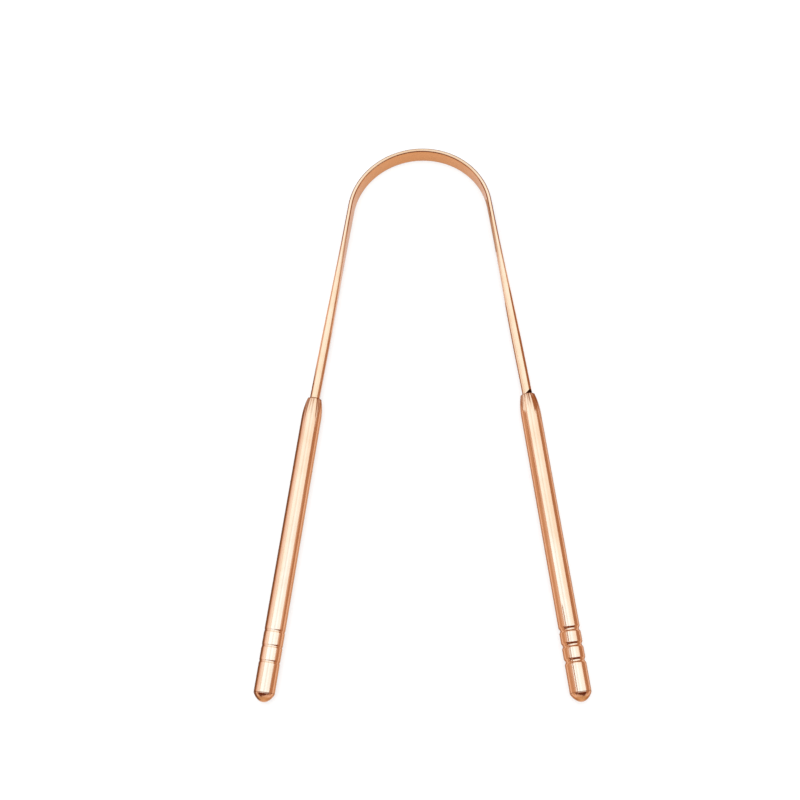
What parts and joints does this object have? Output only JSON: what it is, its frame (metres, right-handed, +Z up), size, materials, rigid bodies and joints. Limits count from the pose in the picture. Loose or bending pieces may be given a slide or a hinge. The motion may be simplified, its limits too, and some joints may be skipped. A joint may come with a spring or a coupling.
{
  "type": "tongue scraper",
  "caption": "U-shaped tongue scraper: a springy copper band bent to an arch, with a hollow grooved handle crimped on each leg; the handles squeeze and spread.",
  "frame": {"origin": "middle of the outline, on the surface that the handles rest on", "axes": "+Y towards the arch along the line of symmetry, +Z up out of the surface, +X across to the right handle"},
  "size_m": [0.0784, 0.146, 0.005],
  "materials": {
    "bow_copper": "polished copper, satin on the faces of the flat band",
    "handle_copper": "bright polished copper, with swage streaks on the neck",
    "plug_copper": "polished copper"
  },
  "bodies": {
    "bow": {"scraper_bow": "bow_copper"},
    "left_handle": {"left_handle_tube": "handle_copper", "left_end_plug": "plug_copper"},
    "right_handle": {"right_handle_tube": "handle_copper", "right_end_plug": "plug_copper"}
  },
  "joints": [
    {"name": "left_flex", "type": "hinge", "parent": "bow", "child": "left_handle", "pos_m": [0, 0.05359, 0.0025], "axis": [0, 0, 1], "range_deg": [-5.5, 5.5], "stiffness_Nm_per_rad": 1.5, "deforming": ["scraper_bow"]},
    {"name": "right_flex", "type": "hinge", "parent": "bow", "child": "right_handle", "pos_m": [0, 0.05359, 0.0025], "axis": [0, 0, -1], "range_deg": [-5.5, 5.5], "stiffness_Nm_per_rad": 1.5, "deforming": ["scraper_bow"]}
  ]
}
